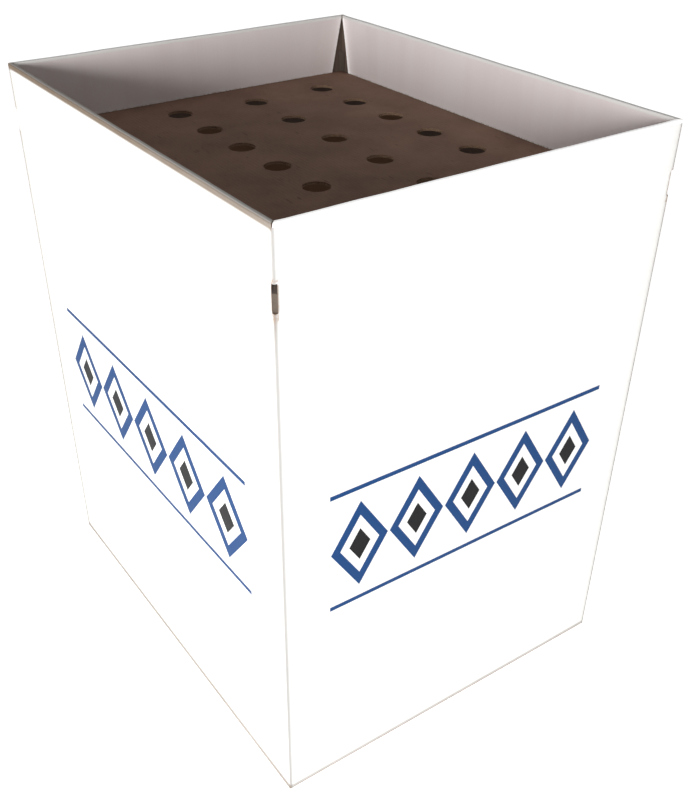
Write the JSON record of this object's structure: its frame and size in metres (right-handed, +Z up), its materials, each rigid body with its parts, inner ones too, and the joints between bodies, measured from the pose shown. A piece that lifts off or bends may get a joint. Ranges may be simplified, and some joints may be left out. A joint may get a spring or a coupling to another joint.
{
  "type": "cardboard floor display bin",
  "caption": "Tall open-topped white corrugated board bin with a rolled-over rim and a sunken brown shelf pierced by staggered rows of round holes for upright goods.",
  "frame": {"origin": "on the floor at the middle of the base", "axes": "+Z up; the front panel faces -Y and the left panel faces -X; X runs across the narrower front, Y runs front to back"},
  "size_m": [0.63, 0.776, 0.914],
  "materials": {
    "white_board": "smooth white printed liner, faintly satin",
    "brown_board": "matt unbleached brown liner"
  },
  "bodies": {
    "root": {"outer_shell": "white_board", "perforated_shelf": "brown_board", "long_divider": "brown_board", "front_cross_divider": "brown_board", "back_cross_divider": "brown_board", "base_pad": "brown_board"}
  },
  "joints": []
}
